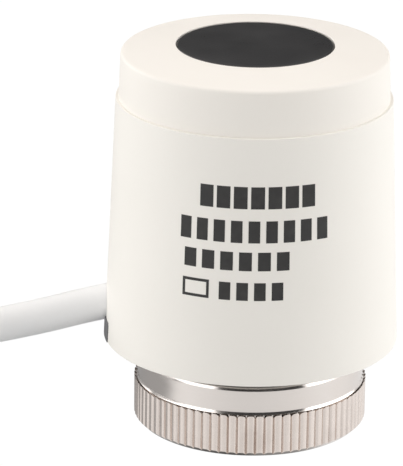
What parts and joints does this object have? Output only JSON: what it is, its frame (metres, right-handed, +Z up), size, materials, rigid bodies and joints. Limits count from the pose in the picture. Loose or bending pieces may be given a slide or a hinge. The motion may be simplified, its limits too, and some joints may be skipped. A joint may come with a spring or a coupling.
{
  "type": "valve actuator head",
  "caption": "Round off-white thermal valve actuator with a knurled union nut below, a black lift indicator in its lid and a thin white lead from its side.",
  "frame": {"origin": "on the stroke's axis, in the plane of the union nut's open end, which the head stands on", "axes": "+Z up along the stroke, the way the plunger lifts off the valve; the lead leaves towards -X; -Y is the front"},
  "size_m": [0.1433, 0.0673, 0.0584],
  "materials": {
    "casing_plastic": "satin moulded, warm white",
    "indicator_plastic": "fine matt",
    "dark_plastic": "glass-filled, matt",
    "carriage_plastic": "natural, satin",
    "seat_plastic": "heat-resistant, satin",
    "seal_rubber": "moulded",
    "gland_rubber": "moulded, matt",
    "plated_nut": "nickel-plated, turned and knurled",
    "plain_steel": "zinc-plated",
    "spring_steel": "drawn wire, oiled",
    "cell_brass": "turned",
    "insulator_white": "fired, matt",
    "heater_grey": "metallised, matt",
    "wax_amber": "waxy",
    "sheath_white": "satin extruded",
    "core_brown": "extruded",
    "core_blue": "extruded",
    "tie_black": "moulded strap"
  },
  "bodies": {
    "housing": {"casing": "casing_plastic", "top_cap": "casing_plastic", "base_plate": "dark_plastic", "base_seal": "seal_rubber", "base_screws": "plain_steel", "snap_ring": "spring_steel", "frame_posts": "plain_steel", "spring_plate": "plain_steel", "main_spring": "spring_steel", "heater_seat": "seat_plastic", "insulator_disc": "insulator_white", "contact_lower": "cell_brass", "heater_disc": "heater_grey", "contact_upper": "cell_brass", "wax_cup": "cell_brass", "wax_charge": "wax_amber", "wax_seal": "seal_rubber", "wax_guide": "cell_brass", "cable_gland": "gland_rubber", "cord_clamp": "dark_plastic", "clamp_screws": "plain_steel", "wire_brown": "core_brown", "wire_blue": "core_blue", "wire_terminals": "plain_steel", "power_cord": "sheath_white", "cord_coil": "sheath_white", "cord_tie": "tie_black", "core_brown": "core_brown", "core_blue": "core_blue", "core_ferrules": "plain_steel"},
    "nut": {"union_nut": "plated_nut"},
    "plunger": {"carriage": "carriage_plastic", "plunger_seal": "seal_rubber", "pressure_foot": "plain_steel", "lift_bridge": "plain_steel", "indicator_disc": "indicator_plastic", "indicator_seal": "seal_rubber"},
    "piston": {"wax_piston": "plain_steel"}
  },
  "joints": [
    {"name": "nut_turn", "type": "hinge", "parent": "housing", "child": "nut", "pos_m": [0, 0, 0.01], "axis": [0, 0, 1], "continuous": true},
    {"name": "plunger_lift", "type": "slide", "parent": "housing", "child": "plunger", "axis": [0, 0, 1], "range_m": [0, 0.004], "stiffness_N_per_m": 400, "springref_m": -0.005, "deforming": ["main_spring"]},
    {"name": "piston_lift", "type": "slide", "parent": "housing", "child": "piston", "axis": [0, 0, 1], "range_m": [0, 0.004]}
  ],
  "couplings": [
    {"joint": "piston_lift", "follows": "plunger_lift", "ratio": 1}
  ]
}
